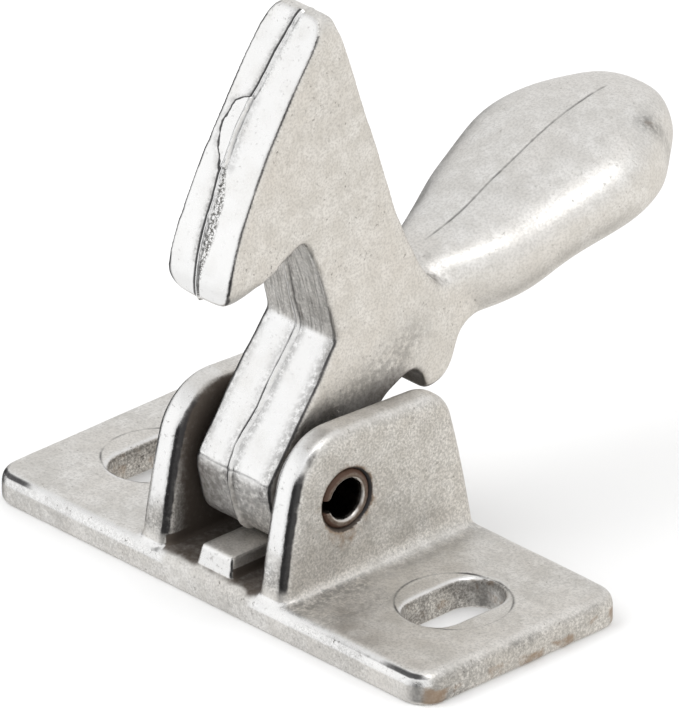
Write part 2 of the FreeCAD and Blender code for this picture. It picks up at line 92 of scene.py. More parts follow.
def step(x, a, b):
    """0 below a, 1 above b, smooth between; a may be above b."""
    t = np.clip((x - a) / (b - a), 0, 1)
    return t * t * (3 - 2 * t)


def window(x, a, b, soft):
    return step(x, a - soft, a + soft) * (1 - step(x, b - soft, b + soft))


# ------------------------------------------------------------------- meshes
def castable(node, voxel):
    """The CAD node's surface as an even quad mesh, in mm."""
    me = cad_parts[node].data.copy()
    me.materials.clear()
    me.transform(Matrix.Scale(1000.0, 4))
    bm = bmesh.new()
    bm.from_mesh(me)
    bmesh.ops.remove_doubles(bm, verts=bm.verts, dist=0.002)
    bm.to_mesh(me)
    bm.free()
    ob = bpy.data.objects.new("work", me)
    scene.collection.objects.link(ob)
    mod = ob.modifiers.new("even", "REMESH")
    mod.mode = "VOXEL"
    mod.voxel_size = voxel
    mod.adaptivity = 0.0
    dg = bpy.context.evaluated_depsgraph_get()
    out = bpy.data.meshes.new_from_object(ob.evaluated_get(dg))
    bpy.data.objects.remove(ob)
    bpy.data.meshes.remove(me)
    return out


def get(me, what="co"):
    a = np.empty(len(me.vertices) * 3, np.float32)
    if what == "co":
        me.vertices.foreach_get("co", a)
    else:
        me.vertex_normals.foreach_get("vector", a)
    return a.reshape(-1, 3).astype(float)


def put(me, co):
    me.vertices.foreach_set("co", co.astype(np.float32).ravel())
    me.update()


def inside_box(co, margin=0.004, band=0.6):
    """Eases whatever reaches past the CAD's box back within it, over a narrow band."""
    co = co.copy()
    for k in range(3):
        for sign, wall in ((-1, cad_lo[k] * 1000 + margin), (1, cad_hi[k] * 1000 - margin)):
            depth = sign * (co[:, k] - wall) + band      # above 0 within the band
            most = depth.max()
            if most > band:
                co[:, k] = np.where(depth > 0, wall + sign * (depth * band / most - band), co[:, k])
    return co


def edge_list(me):
    e = np.empty(len(me.edges) * 2, np.int32)
    me.edges.foreach_get("vertices", e)
    return e.reshape(-1, 2)


def smooth(co, edges, weight, rounds):
    i = np.concatenate([edges[:, 0], edges[:, 1]])
    j = np.concatenate([edges[:, 1], edges[:, 0]])
    n = len(co)
    count = np.maximum(np.bincount(i, minlength=n), 1)
    w = weight[:, None] * 0.5
    for _ in range(rounds):
        mean = np.stack([np.bincount(i, weights=co[j, k], minlength=n) for k in range(3)], -1) / count[:, None]
        co = co + w * (mean - co)
    return co


def refine(me, chosen, cuts=1):
    """Splits the faces whose corners are all chosen."""
    bm = bmesh.new()
    bm.from_mesh(me)
    bm.verts.ensure_lookup_table()
    edges = [e for e in bm.edges if chosen[e.verts[0].index] and chosen[e.verts[1].index]]
    bmesh.ops.subdivide_edges(bm, edges=edges, cuts=cuts, use_grid_fill=True)
    bm.to_mesh(me)
    bm.free()
    me.update()


def finish_piece(me, name, body, replaced, material, masks):
    """Masks are per vertex numbers, 0 to 1, that the material reads."""
    for key, channels in masks.items():
        layer = me.color_attributes.new(key, "FLOAT_COLOR", "POINT")
        rgba = np.ones((len(me.vertices), 4), np.float32)
        for k, values in enumerate(channels):
            rgba[:, k] = np.clip(values, 0, 1)
        layer.data.foreach_set("color", rgba.ravel())
    me.transform(Matrix.Scale(0.001, 4))
    me.polygons.foreach_set("use_smooth", np.ones(len(me.polygons), bool))
    me.name = name
    ob = bpy.data.objects.new(name, me)
    scene.collection.objects.link(ob)
    me.materials.clear()
    me.materials.append(material)
    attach(ob, body)
    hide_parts(replaced)
    return ob


# ---------------------------------------------------------------- materials
class Graph:
    def __init__(self, name):
        self.mat = bpy.data.materials.new(name)
        self.mat.use_nodes = True
        self.t = self.mat.node_tree
        self.t.nodes.clear()
        self.out = self.t.nodes.new("ShaderNodeOutputMaterial")
        self.bsdf = self.t.nodes.new("ShaderNodeBsdfPrincipled")
        self.t.links.new(self.bsdf.outputs[0], self.out.inputs[0])
        self.coord = self.t.nodes.new("ShaderNodeTexCoord").outputs["Object"]

    def put(self, socket, value):
        if isinstance(value, bpy.types.NodeSocket):
            self.t.links.new(value, socket)
        elif value is not None:
            socket.default_value = value

    def stretch(self, scale):
        n = self.t.nodes.new("ShaderNodeMapping")
        self.put(n.inputs["Vector"], self.coord)
        n.inputs["Scale"].default_value = scale
        return n.outputs[0]

    def noise(self, size, detail=3.0, rough=0.5, vector=None, distortion=0.0):
        n = self.t.nodes.new("ShaderNodeTexNoise")
        self.put(n.inputs["Vector"], vector or self.coord)
        n.inputs["Scale"].default_value = 1.0 / size
        n.inputs["Detail"].default_value = detail
        n.inputs["Roughness"].default_value = rough
        n.inputs["Distortion"].default_value = distortion
        return n.outputs[0]

    def cells(self, size, randomness=1.0):
        n = self.t.nodes.new("ShaderNodeTexVoronoi")
        self.put(n.inputs["Vector"], self.coord)
        n.inputs["Scale"].default_value = 1.0 / size
        n.inputs["Randomness"].default_value = randomness
        return n.outputs["Distance"]

    def span(self, value, a, b, lo=0.0, hi=1.0):
        n = self.t.nodes.new("ShaderNodeMapRange")
        n.interpolation_type = "SMOOTHSTEP"
        self.put(n.inputs["Value"], value)
        n.inputs["From Min"].default_value = a
        n.inputs["From Max"].default_value = b
        n.inputs["To Min"].default_value = lo
        n.inputs["To Max"].default_value = hi
        return n.outputs[0]

    def math(self, op, a, b=None, clamp=False):
        n = self.t.nodes.new("ShaderNodeMath")
        n.operation = op
        n.use_clamp = clamp
        self.put(n.inputs[0], a)
        self.put(n.inputs[1], b)
        return n.outputs[0]

    def mix(self, amount, a, b):
        n = self.t.nodes.new("ShaderNodeMix")
        n.data_type = "RGBA"
        self.put(n.inputs["Factor"], amount)
        self.put(n.inputs[6], (*a, 1.0) if isinstance(a, tuple) else a)
        self.put(n.inputs[7], (*b, 1.0) if isinstance(b, tuple) else b)
        return n.outputs[2]

    def masks(self, name):
        n = self.t.nodes.new("ShaderNodeVertexColor")
        n.layer_name = name
        s = self.t.nodes.new("ShaderNodeSeparateColor")
        self.put(s.inputs[0], n.outputs["Color"])
        return s.outputs[0], s.outputs[1], s.outputs[2]

    def bump(self, height, distance, strength=1.0, normal=None):
        n = self.t.nodes.new("ShaderNodeBump")
        n.inputs["Strength"].default_value = strength
        n.inputs["Distance"].default_value = distance
        self.put(n.inputs["Height"], height)
        self.put(n.inputs["Normal"], normal)
        return n.outputs[0]


def cast_metal(name, light=(0.90, 0.885, 0.86), dark=(0.76, 0.74, 0.705)):
    """Tumbled cast aluminium. Layers: wear = soiling and painted shade, polished sheen and painted highlight, dark
    lines and painted edge shade; tone = stain, pits, brush; grit = grit, painted shade.
    """
    g = Graph(name)
    dirt, polish, line = g.masks("wear")
    stain, pitted, brush = g.masks("tone")
    grit, shade, _ = g.masks("grit")
    cloud = g.noise(0.0021, 5.0, 0.62)
    broad = g.noise(0.009, 3.0, 0.5)
    grain = g.noise(0.00024, 3.0, 0.6)
    speck = g.noise(0.00042, 4.0, 0.7)
    col = g.mix(g.span(cloud, 0.36, 0.66), dark, light)
    col = g.mix(g.span(broad, 0.35, 0.7, 0.0, 0.45), col, (0.84, 0.80, 0.75))
    # polished patches painted brighter: partly real polish, partly painted highlight on front faces, fin crests, slot
    # rims and the lug's front
    col = g.mix(g.math("MULTIPLY", polish, 0.75), col, (0.93, 0.935, 0.94))
    # fine dark pits, thicker where the casting is rough
    pits = g.span(speck, 0.60, 0.70)
    patchy = g.span(g.noise(0.0032, 2.0, 0.5), 0.35, 0.7, 0.25, 1.0)
    pits = g.math("MULTIPLY", pits, patchy)
    pits = g.math("MULTIPLY", pits, g.math("ADD", g.math("MULTIPLY", pitted, 1.1), 0.18), clamp=True)
    col = g.mix(pits, col, (0.24, 0.22, 0.19))
    fine = g.span(grain, 0.38, 0.66, 0.0, 0.46)
    col = g.mix(g.math("MULTIPLY", fine, g.math("SUBTRACT", 1.0, polish)), col, (0.50, 0.485, 0.46))
    mottle = g.noise(0.0006, 5.0, 0.75)
    veil = g.math("MULTIPLY", shade, g.span(mottle, 0.34, 0.60))
    col = g.mix(g.math("MULTIPLY", veil, 0.85), col, (0.20, 0.195, 0.19))
    dust = g.math("MULTIPLY", grit, g.span(g.noise(0.00026, 3.0, 0.7), 0.43, 0.56))
    col = g.mix(g.math("MULTIPLY", dust, 0.92), col, (0.10, 0.095, 0.085))
    drawn = g.noise(0.00030, 3.0, 0.7, vector=g.stretch((1.0, 0.14, 0.07)))
    col = g.mix(g.math("MULTIPLY", brush, g.span(drawn, 0.47, 0.62, 0.0, 0.5)), col, (0.16, 0.15, 0.135))
    # tan and brown stains with ragged edges
    ragged = g.span(g.math("ADD", stain, g.math("MULTIPLY", g.math("SUBTRACT", g.noise(0.0011, 5.0, 0.65), 0.5), 0.9)), 0.35, 0.75)
    col = g.mix(g.math("MULTIPLY", ragged, 0.8), col, (0.33, 0.235, 0.16))
    # packed dark dirt, and painted shade in holes, recesses, undersides and between the parts
    grime = g.span(g.math("ADD", dirt, g.math("MULTIPLY", g.math("SUBTRACT", g.noise(0.0007, 5.0, 0.7), 0.5), 0.55)), 0.12, 0.92)
    col = g.mix(grime, col, (0.085, 0.068, 0.055))
    # near-black lines: the parting and cross lines, with painted dark reflections along rounded edges and painted shade
    # beside the fin and round the flash
    ink = g.span(g.math("ADD", line, g.math("MULTIPLY", g.math("SUBTRACT", g.noise(0.0007, 3.0, 0.6), 0.5), 0.3)), 0.12, 0.80)
    col = g.mix(g.math("MULTIPLY", ink, 0.93), col, (0.035, 0.034, 0.036))
    g.put(g.bsdf.inputs["Base Color"], col)
    rough = g.math("ADD", g.math("MULTIPLY", g.math("SUBTRACT", 1.0, polish), 0.20), g.span(cloud, 0.3, 0.7, 0.20, 0.29))
    rough = g.math("ADD", rough, g.math("MULTIPLY", pits, 0.2), clamp=True)
    rough = g.math("ADD", rough, g.math("MULTIPLY", grime, 0.25), clamp=True)
    g.put(g.bsdf.inputs["Roughness"], rough)
    g.put(g.bsdf.inputs["Metallic"], g.span(grime, 0.0, 1.0, 1.0, 0.45))
    streaks = g.noise(0.00022, 2.0, 0.6, vector=g.stretch((1.0, 0.10, 0.06)))
    height = g.math("ADD", g.math("MULTIPLY", grain, 0.35), g.math("MULTIPLY", cloud, 0.9))
    height = g.math("SUBTRACT", height, g.math("MULTIPLY", pits, 0.9))
    height = g.math("ADD", height, g.math("MULTIPLY", g.math("MULTIPLY", streaks, brush), 1.6))
    g.put(g.bsdf.inputs["Normal"], g.bump(height, 0.00006, 0.75))
    return g.mat


def rolled_steel(name, base=(0.15, 0.11, 0.085), rust=(0.075, 0.036, 0.02)):
    g = Graph(name)
    dirt, polish, line = g.masks("wear")
    cloud = g.noise(0.0006, 5.0, 0.65)
    col = g.mix(g.span(cloud, 0.35, 0.68), base, (0.24, 0.20, 0.17))
    col = g.mix(g.math("MULTIPLY", polish, 0.9), col, (0.78, 0.76, 0.73))
    r = g.span(g.math("ADD", dirt, g.math("MULTIPLY", g.math("SUBTRACT", g.noise(0.00035, 4.0, 0.7), 0.5), 0.7)), 0.25, 0.75)
    col = g.mix(r, col, rust)
    # the line mask paints the pin's bore near-black: painted shade in the hole
    col = g.mix(line, col, (0.030, 0.020, 0.014))
    g.put(g.bsdf.inputs["Base Color"], col)
    g.put(g.bsdf.inputs["Roughness"], g.math("ADD", g.span(cloud, 0.3, 0.7, 0.24, 0.42), g.math("MULTIPLY", r, 0.25)))
    g.put(g.bsdf.inputs["Metallic"], g.span(r, 0.0, 1.0, 1.0, 0.1))
    g.put(g.bsdf.inputs["Normal"], g.bump(cloud, 0.00005, 0.7))
    return g.mat


def wire_steel(name):
    g = Graph(name)
    cloud = g.noise(0.0007, 4.0, 0.6)
    scale = g.noise(0.00015, 2.0, 0.5)
    col = g.mix(g.span(cloud, 0.35, 0.65), (0.42, 0.41, 0.40), (0.62, 0.61, 0.60))
    col = g.mix(g.span(scale, 0.6, 0.75, 0.0, 0.6), col, (0.16, 0.13, 0.11))
    g.put(g.bsdf.inputs["Base Color"], col)
    g.put(g.bsdf.inputs["Roughness"], g.span(cloud, 0.3, 0.7, 0.25, 0.42))
    g.bsdf.inputs["Metallic"].default_value = 1.0
    g.put(g.bsdf.inputs["Normal"], g.bump(scale, 0.00003, 0.6))
    return g.mat


# --------------------------------------------------------------- hook lever
def at(z, table):
    """Value from (z, value) rows, z falling or rising."""
    t = sorted(table)
    return np.interp(z, [r[0] for r in t], [r[1] for r in t])


FIN = [(59, 0.62), (58.3, 0.55), (56.8, 0.22), (54.7, -0.08), (53.0, -0.12), (51.6, -0.30), (50.6, -0.55), (49.4, -0.66), (48.0, -0.7),
       (46.6, -0.6), (45.4, -0.55), (44.0, -0.72), (42.0, -0.38), (39.9, -0.36), (38.0, -0.28), (35.4, -0.1), (33.9, 0.0), (32.4, -0.2),
       (30.0, -0.35), (28.0, -0.38), (26.1, -0.12), (24.5, 0.02), (22.0, -0.05), (19.9, -0.1), (18.0, 0.0), (16.0, -0.36), (14.8, -0.52),
       (13.8, -0.3), (12.6, -0.08), (10.6, 0.0), (9.0, 0.0), (7.3, 0.25), (6.2, 0.35)]
ISLAND_LEFT = [(50.75, -0.6), (50.45, -1.5), (49.95, -2.2), (49.1, -2.42), (48.0, -2.62), (46.8, -2.38), (46.0, -2.1), (45.4, -1.5), (45.0, -1.2), (44.0, -0.95)]
ISLAND_RIGHT = [(50.75, -0.5), (49.4, -0.62), (48.0, -0.66), (46.6, -0.55), (45.4, -0.35), (44.2, -0.3)]


def make_lever():
    me = castable("hook_lever", 0.2)
    co = get(me)
    x, y, z = co.T
    r_pin = np.hypot(y - PIVOT_Y, z - PIVOT_Z)
    # how far each region's edges are rounded by tumbling
    along = (y - 14.0) * math.cos(math.radians(19.5)) + (z - 23.8) * math.sin(math.radians(19.5))
    handle = step(along, 1.0, 6.0) * step(y, 12, 15)
    lower = (1 - step(z, 24.5, 28.5)) * (1 - step(y, 6, 12))
    root = np.exp(-(((y - 13.5) / 4.0) ** 2 + ((z - 26.3) / 3.6) ** 2))
    heel = window(y, 9, 19, 2) * (1 - step(z, 20, 23.5))
    w = 0.30 + 0.50 * lower + 0.5 * root + 0.35 * heel + 0.05 * handle
    w = w + 0.55 * window(z, 30.5, 35.2, 0.8) * (y < -9.5) * step(np.abs(x), 2.6, 3.8)
    w = np.clip(w, 0, 0.85)
    bore = (r_pin < 3.5)
    w = np.where(bore, 0.0, w)
    pocket = (np.hypot(x, y - 5.0) < 3.6) & (z < 22) & (z > 14) & (np.hypot(x, y - 5.0) > 0.2) & (r_pin > 5)
    w = np.where(pocket & (np.abs(x) < 3.5), 0.15, w)
    co = smooth(co, edge_list(me), w, 44)
    put(me, co)

    def fin_gap(co):
        return co[:, 0] - at(co[:, 2], FIN) * (co[:, 1] < 3.0)

    co, no = get(me), get(me, "no")
    near = (np.abs(fin_gap(co)) < 1.0) & (np.abs(no[:, 0]) < 0.6) & ~((co[:, 1] < 9.5) & (co[:, 2] < 22) & (co[:, 1] > -2))
    isl = (co[:, 2] > 43.5) & (co[:, 2] < 51.2) & (co[:, 0] > -3.1) & (co[:, 0] < 0.6) & (no[:, 1] < -0.5)
    refine(me, near | isl)
    co, no = get(me), get(me, "no")
    near = (np.abs(fin_gap(co)) < 0.5) & (np.abs(no[:, 0]) < 0.6) & (co[:, 1] < 1.0)
    isl = (co[:, 2] > 43.8) & (co[:, 2] < 51.0) & (co[:, 0] > -2.95) & (co[:, 0] < 0.3) & (no[:, 1] < -0.5)
    refine(me, near | isl)
    co, no = get(me), get(me, "no")
    x, y, z = co.T
    r_pin = np.hypot(y - PIVOT_Y, z - PIVOT_Z)
    along = (y - 14.0) * math.cos(math.radians(19.5)) + (z - 23.8) * math.sin(math.radians(19.5))
    handle = step(along, 0.5, 5.0) * step(y, 11, 15)
    gap = fin_gap(co)
    flat = 1 - step(np.abs(no[:, 0]), 0.45, 0.8)
    front = step(-no[:, 1], 0.15, 0.45) * (y < 2.5) * flat
    outside = (r_pin > 4.0) & ~((np.hypot(x, y - 5.0) < 3.7) & (z < 22))
    shell = outside.astype(float)

    # the lip hangs lower in the middle than at its two sides
    under = step(-no[:, 2], 0.15, 0.6) * window(z, 30.5, 35.4, 0.5) * window(y, -14.6, -6.0, 1.6)
    move = np.zeros_like(co)
    move[:, 2] -= under * 0.42 * (1 - np.clip(np.abs(x) / 4.4, 0, 1) ** 2.2)

    # parting fin, all round the outline
    wob = 0.03 * noise(co * [0, 1, 1] + [3, 0, 0], 0.9, 5)
    prof = np.exp(-((gap + wob) / 0.20) ** 2)
    height = 0.24 + 0.10 * (1 - step(z, 25.0, 26.0)) + 0.05 * noise(co, 1.7, 7) - 0.05 * noise(co, 0.5, 8)
    on_throat = window(z, 25.5, 36.5, 0.6) * (y > -5) * (y < 2)
    height = height + 0.10 * on_throat
    back = (1 - front) * (1 - handle)
    h = (front * height + back * 0.07 * flat + handle * flat * np.where(no[:, 2] > 0, -0.085, 0.05)) * prof * shell
    h = h * (1 - step(along, 27.5, 29.5) * (no[:, 2] > 0))
    # step across the parting plane: one die half sits a little proud
    h = h + front * shell * 0.05 * (1 - step(gap, -0.12, 0.12))

    # raised patch of flash on the hook's face
    jag = 0.11 * noise(co, 0.7, 21) + 0.07 * noise(co, 0.3, 22)
    left, right = at(z, ISLAND_LEFT), at(z, ISLAND_RIGHT)
    inside = np.minimum(x - left + jag, right - x + jag * 0.5)
    face = front * step(z, 32.6, 33.4)
    isl = step(inside, -0.05, 0.09) * window(z, 44.6, 50.7, 0.12) * face
    lumps = 0.5 + 0.5 * fractal(co, 0.8, 31)
    h = h + isl * (0.17 + 0.08 * lumps)

    # gritty pickled strip to the right of the fin
    grit_w = at(z, [(44.6, 0.1), (43.5, 0.5), (42.0, 0.85), (40.0, 0.95), (38.5, 0.9), (37.0, 0.55), (35.5, 0.15)])
    grit = window(gap, 0.16, 0.2 + grit_w, 0.10) * window(z, 35.6, 44.6, 0.7) * face
    g1 = noise(co, 0.30, 41)
    h = h + grit * 0.07 * g1
    grit_l = window(gap, -0.55, -0.2, 0.12) * window(z, 37.0, 42.5, 0.8) * face * step(noise(co, 0.8, 44), -0.1, 0.5)

    # cross line low on the body and slight cast waviness
    cross_z = 12.9 + 0.12 * noise(co, 2.2, 51)
    cross = np.exp(-((z - cross_z) / 0.16) ** 2) * front * (y < -7)
    h = h - cross * 0.05
    wave = 0.035 * fractal(co, 4.2, 61) + 0.012 * fractal(co, 1.1, 62)
    h = h + shell * wave * (1 - 0.5 * handle)
    move += no * h[:, None]
    put(me, inside_box(co + move))

    # ---- masks
    co2, no2 = get(me), get(me, "no")
    nx = np.abs(no[:, 0])
    face_front = step(-no[:, 1], 0.35, 0.75) * (y < 3) * (1 - step(nx, 0.35, 0.75))
    throat = window(z, 25.3, 37.5, 0.4) * (y > -5.2) * (y < 1.5) * step(-no[:, 1], 0.1, 0.5)
    nose = face_front * (1 - step(z, 11.8, 13.4)) * (y < -5)
    # front faces and the handle painted brighter through the polish mask: partly real polish, partly painted highlight
    polish = face_front * (1 - throat) * (1 - 0.75 * nose)
    polish = np.clip(polish * (0.95 + 0.25 * noise(co, 1.5, 71)) + 0.16 * handle, 0, 1)
    inner_side = (z < 22.5) * (z < 21.5 - 0.1 * y) * nx
    # the lever's side faces low down, between the ears, painted dark: painted shade from the ears
    dirt = 0.62 * step(nx, 0.6, 0.95) * (1 - step(z - 0.36 * y + 0.5 * noise(co, 2.0, 79), 16.0, 20.0)) * (1 - step(y, 6.5, 11.0))
    dirt = dirt + 0.30 * nose * step(-x, -1.5, 4.5) + 0.28 * nose
    # inside the pin bore and the spring pocket painted dark: painted shade in the holes
    dirt = dirt + 0.7 * (1 - shell)
    # downward faces under the lever's body painted dark: painted shade under it
    belly = step(-no[:, 2], 0.2, 0.7) * (z < 23) * (y > 0) * (y < 16)
    dirt = dirt + 0.72 * belly
    # the hook lip's underside painted a little darker: painted shade under the lip
    under_lip = step(-no[:, 2], 0.3, 0.8) * window(z, 31, 37, 0.4) * (y < -3)
    dirt = dirt + 0.10 * under_lip
    dirt = dirt + throat * (0.06 + 0.16 * noise(co * [1, 1, 0.3], 0.5, 81) + 0.38 * window(gap, 0.15, 0.85, 0.12) * step(noise(co, 0.8, 82), -0.6, 0.3))
    dirt = dirt + throat * 0.28 * window(x, 1.2, 4.4, 0.5) * window(z, 26.6, 29.4, 0.5)
    root = np.exp(-(((y - 13.3) / 1.7) ** 2 + ((z - 26.9) / 1.2) ** 2))
    dirt = dirt + 0.75 * root * step(fractal(co, 0.9, 83), -0.3, 0.4)
    # near-black painted shade beside the fin and round the flash, and painted dark reflections along the rounded edges
    # of the front faces
    seam = np.exp(-((gap + 0.36) / 0.19) ** 2) * face * (1 - isl) * (z > 33) + 0.9 * np.exp(-((gap + 0.38) / 0.19) ** 2) * front * (z < 25.6) * (0.75 + 0.5 * noise(co, 1.2, 84))
    seam = seam + 0.5 * np.exp(-((gap - 0.34) / 0.13) ** 2) * throat
    rim = np.exp(-((inside + 0.17) / 0.20) ** 2) * window(z, 44.3, 51.0, 0.15) * face * (x < at(z, FIN) + 0.25)
    rim_right = rim * (x > right - 0.5) * 0.5
    rim_left = rim * (x < right - 0.5)
    specks = grit * step(g1, -0.15, 0.35) + grit_l * step(noise(co, 0.28, 85), -0.2, 0.4)
    edge = np.maximum(window(no[:, 0], 0.42, 0.86, 0.10), window(-no[:, 0], 0.16, 0.95, 0.10)) * step(-no[:, 1], 0.1, 0.3) * (y < 3) * (r_pin > 3.3)
    edge = edge * (0.92 + 0.2 * noise(co, 2.0, 86)) * (1 - 0.72 * throat) * (1 - 0.5 * (z > 57.0))
    grain = 0.5 * cross
    top_line = handle * np.exp(-(gap / 0.20) ** 2) * (no[:, 2] > 0.3) * (0.50 + 0.10 * noise(co, 1.0, 87)) * (1 - step(along, 27.0, 29.0))
    # these lines are painted shade and painted dark reflections, plus the real cross line and the handle's parting line
    line = seam * 0.95 + rim_left + rim_right + 0.85 * edge + grain + 1.0 * top_line
    gritty = window(gap, 0.10, 0.30 + grit_w, 0.14) * window(z, 34.6, 44.9, 0.7) * face + 0.32 * window(gap, -0.85, -0.15, 0.2) * window(z, 36.0, 43.5, 1.2) * face
    gritty = gritty + 0.30 * window(gap, -0.8, 0.5, 0.25) * window(z, 51.0, 58.6, 1.0) * face + 0.22 * throat
    body = face_front * (z < 25.6) * (z > 11.0)
    shadow = 0.55 * np.exp(-((gap + 0.55) / 0.42) ** 2) * face * (1 - isl) * (z > 36) + 0.4 * np.exp(-((inside + 0.5) / 0.45) ** 2) * face * window(z, 44.5, 51.0, 0.6) * (1 - isl)
    shadow = shadow + body * (0.75 * step(x, 3.1, 4.7) + 0.55 * step(-x, 3.2, 4.6) + 0.65 * np.exp(-((gap - 0.5) / 0.5) ** 2) + 0.4 * np.exp(-((gap + 0.8) / 0.5) ** 2))
    shadow = shadow + 0.75 * nose + 0.26 * throat + 0.6 * step(nx, 0.6, 0.95) * np.exp(-((z - 0.36 * y - 18.6) / 2.2) ** 2) * (1 - step(y, 8, 13)) * (z < 30)
    # fin crest: painted shade and grit lifted off it and it is painted bright, a painted highlight along the ridge
    crest = np.exp(-((gap + wob) / 0.24) ** 2) * np.clip(front + throat, 0, 1)
    shadow, gritty = shadow * (1 - 0.9 * crest), gritty * (1 - 0.8 * crest)
    dirt = dirt * (1 - 0.8 * crest * (z > 13.2))
    polish = np.clip(polish + 0.6 * crest * (z > 13.2), 0, 1)
    # tan on the handle's downward faces and on the belly is painted shade
    stain = 0.30 * handle * step(-no[:, 2], 0.0, 0.8) + 0.3 * root + 0.15 * belly
    tip = np.exp(-(((x - 6.5) / 1.1) ** 2 + ((along - 26.9) / 1.2) ** 2)) * handle * (no[:, 2] > -0.1)
    stain = stain + 0.45 * tip
    shadow = shadow + 0.85 * tip
    pitted = 0.55 + 0.25 * fractal(co, 6.0, 91) - 0.4 * face_front - 0.22 * handle
    pitted = pitted + 0.5 * throat
    brush = throat * (1 - crest)
    return finish_piece(me, "lever_casting", "lever", "hook_lever", cast_metal("lever_aluminium"),
                        {"wear": (dirt, polish, line), "tone": (stain, pitted, brush), "grit": (gritty, shadow, np.zeros(len(co)))})


# ------------------------------------------------------------- base bracket
def make_base():
    me = castable("base_bracket", 0.2)
    co = get(me)
    x, y, z = co.T
    r_pin = np.hypot(y - PIVOT_Y, z - PIVOT_Z)
    slot_d = np.hypot(np.abs(x) - 20.3, np.maximum(np.abs(y) - 2.4, 0))
    w = np.full(len(co), 0.28)
    w = w + 0.25 * window(np.abs(x), 9.6, 12.6, 0.4) * (z < 6)
    w = np.where(slot_d < 4.0, 0.14, w)
    w = np.where((r_pin < 4.0), 0.04, w)
    w = np.where(z < 0.5, 0.10, w)
    co = smooth(co, edge_list(me), w, 26)
    co[:, 2] = np.maximum(co[:, 2], 0.0)
    put(me, co)
    co, no = get(me), get(me, "no")
    x, y, z = co.T
    ax = np.abs(x)
    r_pin = np.hypot(y - PIVOT_Y, z - PIVOT_Z)
    slot_d = np.hypot(ax - 20.3, np.maximum(np.abs(y) - 2.4, 0))
    ear = step(z, 3.6, 5.0) * window(ax, 5.9, 10.6, 0.2)
    free = step(z, 0.35, 0.9) * step(r_pin, 3.4, 4.2)
    wave = 0.035 * fractal(co, 4.0, 101) + 0.014 * fractal(co, 1.0, 102)
    rough_face = step(-no[:, 1], 0.6, 0.9) * (z < 3.3)
    wave = wave + rough_face * 0.03 * fractal(co, 1.8, 103)
    # jagged rough skin on the walls of the slots and low on the front of the ears
    wall = window(slot_d, 2.6, 3.35, 0.15) * (np.abs(no[:, 2]) < 0.6)
    wave = wave + wall * 0.06 * fractal(co, 0.7, 104)
    foot = step(-no[:, 1], 0.4, 0.8) * ear * (1 - step(z, 5.5, 8.5))
    wave = wave + foot * 0.05 * fractal(co, 0.8, 105)
    h = wave * free
    co = co + no * h[:, None]
    co[:, 2] = np.maximum(co[:, 2], 0.0)
    co[:, 0] = np.clip(co[:, 0], -29.999, 29.999)
    put(me, co)

    # ---- masks
    nx, ny, nz = no.T
    front_ear = ear * step(-ny, 0.35, 0.75) * (1 - step(np.abs(nx), 0.4, 0.8))
    top_front = ear * step(nz, 0.2, 0.6) * (y < -4) * (1 - step(np.abs(nx), 0.4, 0.8))
    front_lip = (z < 3.4) * step(-ny, 0.25, 0.6) * (nz > 0.1) * (y < -11) * step(ax, 5.4, 6.6)
    # ear fronts, front ear tops, the plate's front lip and the slot rims painted brighter through the polish mask:
    # painted highlight, with lower roughness as polish
    polish = np.clip(front_ear * step(z + 1.2 * noise(co, 1.5, 111), 4.5, 8.5) + 0.9 * front_lip + 0.4 * top_front, 0, 1)
    rim_slot = window(slot_d, 3.0, 3.6, 0.1) * step(nz, 0.3, 0.8) * (z > 2.6)
    polish = np.clip(polish + 0.7 * rim_slot, 0, 1)
    # the ears' facing inner faces, the floor between them and the lug's top and sides painted dark: painted shade
    # between the ears
    inner = (ax < 6.9) * step(-np.sign(x) * nx, 0.35, 0.8) * (z > 3.0)
    floor_gap = (ax < 6.6) * (z < 4.4) * (z > 2.2) * step(y + 0.3 * noise(co, 1.4, 110), -12.9, -12.1)
    dirt = 0.74 * inner * step(y + 0.0 * z, -12.2, -9.0) + 0.16 * inner + 0.80 * floor_gap
    lug = (ax < 4.0) * (z > 3.4) * (z < 6.2) * (y < -5.8)
    dirt = dirt + lug * (0.30 * step(nz, 0.4, 0.8) + 0.42 * step(np.abs(nx), 0.4, 0.8))
    # the lug's front: painted shade lifted off and a painted highlight put on
    lug_front = lug * step(-ny, 0.5, 0.9)
    dirt = dirt * (1 - 0.92 * lug_front)
    polish = np.maximum(polish, 0.9 * lug_front)
    # slot walls painted darker: painted shade inside the slots; dirt specks low on the ear fronts
    dirt = dirt + 0.42 * wall * (0.7 + 0.5 * noise(co, 1.0, 118)) + 0.10 * foot * step(noise(co, 0.9, 112), -0.2, 0.5)
    # stain round the pin, darkest in a ragged ring, running a little way down
    outer = (ax > 9.0) * step(np.abs(nx), 0.5, 0.9)
    ragged = r_pin + 0.16 * noise(co, 1.3, 113) + 0.12 * noise(co, 0.5, 114)
    ring = 1 - step(ragged, 3.05, 3.55)
    halo = 1 - step(ragged + 0.11 * (z - PIVOT_Z), 3.3, 5.9)
    drip = np.exp(-(((y + 4.4) / 1.7) ** 2)) * window(z, 5.6, 9.0, 0.9)
    dirt = dirt + outer * (0.58 * ring)
    stain = outer * (0.42 * halo + 0.16 * drip + 0.4 * ring)
    # the base's pin bore painted near-black: painted shade in the hole
    bore = (r_pin < 3.25) & (ax > 6.0)
    dirt = np.where(bore, 0.95, dirt)
    # tan dirt along the lower edge of the right end and on the slot walls
    end = step(x, 28.6, 29.7) * (z < 3.2)
    edge_low = 1.7 + 0.9 * fractal(co, 3.2, 115) + 0.5 * step(y, 6, 12)
    stain = stain + end * 0.62 * (1 - step(z, edge_low - 0.5, edge_low + 0.3)) * step(fractal(co, 1.8, 116), -0.55, 0.2)
    stain = stain + 0.48 * wall * step(fractal(co, 1.1, 117), -0.4, 0.4)
    corner = np.exp(-(((x - 29.0) / 1.6) ** 2 + ((y + 12.2) / 1.6) ** 2)) * (z < 3)
    stain = stain + 0.30 * corner
